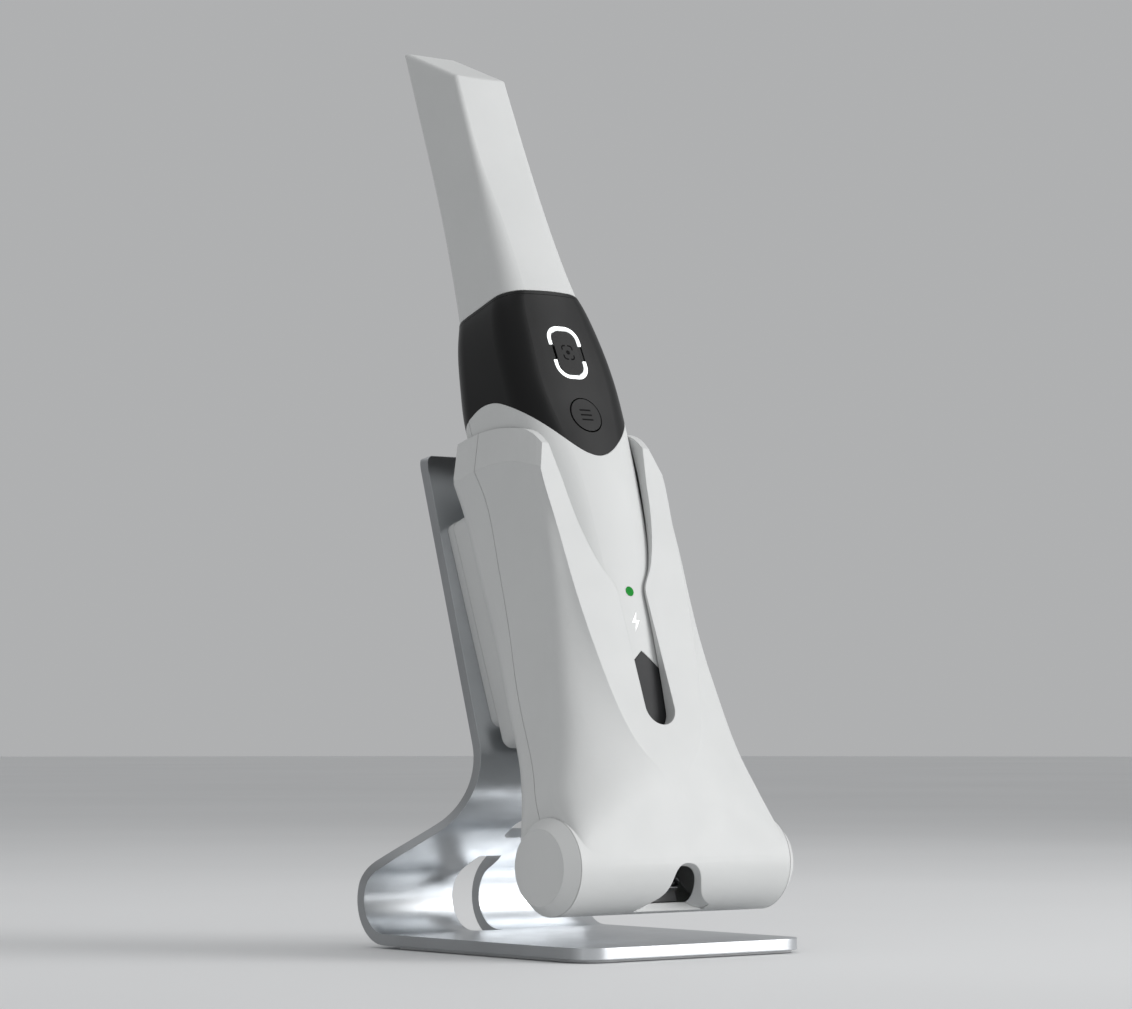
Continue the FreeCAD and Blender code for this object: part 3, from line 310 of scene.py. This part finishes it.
def stroke(build, target, path, half_width):
    """One stroke of an engraved sign with square ends along a path of (x, s) points, drawn as a
    strip standing just proud of the surface.
    """
    rings = []
    for index, (x, s) in enumerate(path):
        before = path[max(index - 1, 0)]
        after = path[min(index + 1, len(path) - 1)]
        run = Vector((after[0] - before[0], after[1] - before[1])).normalized()
        side = Vector((-run.y, run.x)) * half_width
        ring = []
        for sign, level in ((-1, -SIGN_PROUD), (1, -SIGN_PROUD), (1, SIGN_DEPTH),
                            (-1, SIGN_DEPTH)):
            px = x + sign * side.x
            ps = s + sign * side.y
            ring.append(build.verts.new(row(px, depth_at(target, px, ps) + level, ps)))
        rings.append(ring)
    for one, two in zip(rings, rings[1:]):
        for i in range(4):
            j = (i + 1) % 4
            build.faces.new((one[i], one[j], two[j], two[i]))
    build.faces.new(tuple(reversed(rings[0])))
    build.faces.new(tuple(rings[-1]))


def bend(centre, radius, start, end, steps=8):
    """Points along an arc, angles in degrees."""
    points = []
    for i in range(steps + 1):
        angle = math.radians(start + (end - start) * i / steps)
        points.append((centre[0] + radius * math.cos(angle),
                       centre[1] + radius * math.sin(angle)))
    return points


def piece(name, build, material, body):
    bmesh.ops.recalc_face_normals(build, faces=build.faces[:])
    mesh = bpy.data.meshes.new(name)
    build.to_mesh(mesh)
    build.free()
    mesh.materials.append(material)
    thing = bpy.data.objects.new(name, mesh)
    bpy.context.scene.collection.objects.link(thing)
    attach(thing, body)


def scan_sign():
    """Four corner brackets round a dot: the usual sign for taking a picture."""
    target = surface_of("scan_button")
    build = bmesh.new()
    for quarter, (sx, sz) in enumerate(((1, 1), (-1, 1), (-1, -1), (1, -1))):
        centre = (sx * (SIGN_HALF_W - SIGN_BEND_R), SCAN_S + sz * (SIGN_HALF_H - SIGN_BEND_R))
        path = bend(centre, SIGN_BEND_R, quarter * 90, quarter * 90 + 90)
        upright = (0.0, sz * SIGN_ARM)
        level = (sx * SIGN_ARM, 0.0)
        first, last = (upright, level) if quarter % 2 == 0 else (level, upright)
        run_in = (path[0][0] - first[0], path[0][1] - first[1])
        run_out = (path[-1][0] - last[0], path[-1][1] - last[1])
        stroke(build, target, [run_in] + path + [run_out], SIGN_LINE)
    ring = bend((0.0, SCAN_S), DOT_R, 0, 358, 16)
    stroke(build, target, ring, DOT_LINE)
    piece("scan_button_sign", build, SIGN_SHADE, "scan_button")


def mode_sign():
    """Three short bars: the usual sign for a menu."""
    target = surface_of("mode_button")
    build = bmesh.new()
    step = 2 * BAR_HALF_L / BAR_STEPS
    for level in BAR_LEVELS:
        path = [(step * i - BAR_HALF_L, MODE_S + level) for i in range(BAR_STEPS + 1)]
        stroke(build, target, path, BAR_LINE)
    piece("mode_button_sign", build, SIGN_SHADE, "mode_button")


scan_sign()
mode_sign()


# ------------------------------------------------------------------ stage and light
FLOOR_R = 6.0
FLOOR_Z = -0.0002                               # just clear of the pad's underside
WORLD_COLOUR = (0.86, 0.87, 0.88, 1)
WORLD_STRENGTH = 0.50
CAMERA_PLACE = (-0.6989, -0.85667, 0.0672)
CAMERA_PITCH = 90 + 3.35                        # degrees
CAMERA_YAW = -39.35
CAMERA_LENS = 117.57                            # mm, on a sensor 36 mm wide
CENTRE = (0, 0, 0.14)                           # about the middle of the object
COLLAR = (0, -0.03, 0.2)
SOFTBOX_SPREAD = 100                            # degrees, so the floor near a lamp stays pale


def floor():
    material, tree, shader = new_material("floor_paint")
    tree.links.new(ramp(tree, noise(tree, 3, 2), (0.80, 0.805, 0.81), (0.83, 0.835, 0.84)),
                   shader.inputs["Base Color"])
    shader.inputs["Roughness"].default_value = 0.75
    mesh = bpy.data.meshes.new("floor")
    build = bmesh.new()
    bmesh.ops.create_circle(build, cap_ends=True, segments=96, radius=FLOOR_R)
    build.to_mesh(mesh)
    build.free()
    mesh.materials.append(material)
    thing = bpy.data.objects.new("floor", mesh)
    thing.location.z = FLOOR_Z
    bpy.context.scene.collection.objects.link(thing)


def world():
    sky = bpy.data.worlds.new("studio")
    bpy.context.scene.world = sky
    sky.use_nodes = True
    background = sky.node_tree.nodes["Background"]
    background.inputs["Color"].default_value = WORLD_COLOUR
    background.inputs["Strength"].default_value = WORLD_STRENGTH


def softbox(name, place, target, size, power):
    light = bpy.data.lights.new(name, "AREA")
    light.shape = "RECTANGLE"
    light.size, light.size_y = size
    light.energy = power
    light.spread = math.radians(SOFTBOX_SPREAD)
    lamp = bpy.data.objects.new(name, light)
    lamp.location = place
    lamp.rotation_euler = (Vector(target) - Vector(place)).to_track_quat("-Z", "Y").to_euler()
    bpy.context.scene.collection.objects.link(lamp)


def camera():
    data = bpy.data.cameras.new("camera")
    data.sensor_width = 36.0
    data.sensor_fit = "HORIZONTAL"
    data.lens = CAMERA_LENS
    data.clip_start = 0.05
    data.clip_end = 30.0
    thing = bpy.data.objects.new("camera", data)
    thing.location = CAMERA_PLACE
    thing.rotation_euler = (math.radians(CAMERA_PITCH), 0, math.radians(CAMERA_YAW))
    bpy.context.scene.collection.objects.link(thing)
    bpy.context.scene.camera = thing


floor()
world()
camera()
softbox("key", (0.92, -1.20, 0.46), CENTRE, (0.8, 0.85), 4.0)
softbox("sheen", (1.02, -0.83, 1.14), COLLAR, (0.9, 0.9), 1.5)
softbox("top", (0.0, 0.25, 1.3), (0, 0, 0.1), (1.0, 1.0), 0.8)
bpy.context.scene.view_settings.view_transform = "Standard"
